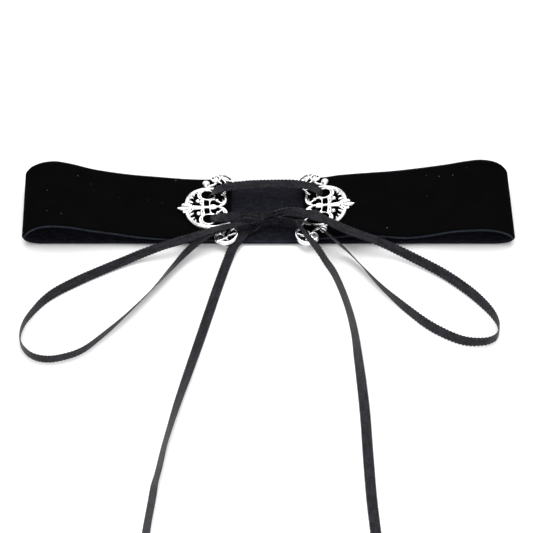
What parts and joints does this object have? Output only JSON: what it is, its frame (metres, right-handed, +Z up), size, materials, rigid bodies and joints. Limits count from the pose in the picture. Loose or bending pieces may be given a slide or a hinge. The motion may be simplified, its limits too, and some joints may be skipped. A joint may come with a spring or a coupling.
{
  "type": "choker necklace",
  "caption": "Velvet ribbon choker whose pierced filigree end ornaments are laced together by a narrow satin ribbon tied in a bow.",
  "frame": {"origin": "on the surface that the choker lies on, under the middle of the flattened velvet band", "axes": "+X along the band, +Y across it away from the bow's tails, +Z up, out of the front of the choker"},
  "size_m": [0.1649, 0.1558, 0.011],
  "materials": {
    "velvet": "black velvet pile, dark navy woven back",
    "silver": "polished silver-coloured casting with dark recesses",
    "satin": "black satin ribbon with fine cross ribs"
  },
  "bodies": {
    "root": {"velvet_band": "velvet", "ornament_left": "silver", "ornament_right": "silver", "lace": "satin", "bow_knot": "satin", "bow_loop_left": "satin", "bow_loop_right": "satin", "tail_left": "satin", "tail_right": "satin"}
  },
  "joints": []
}
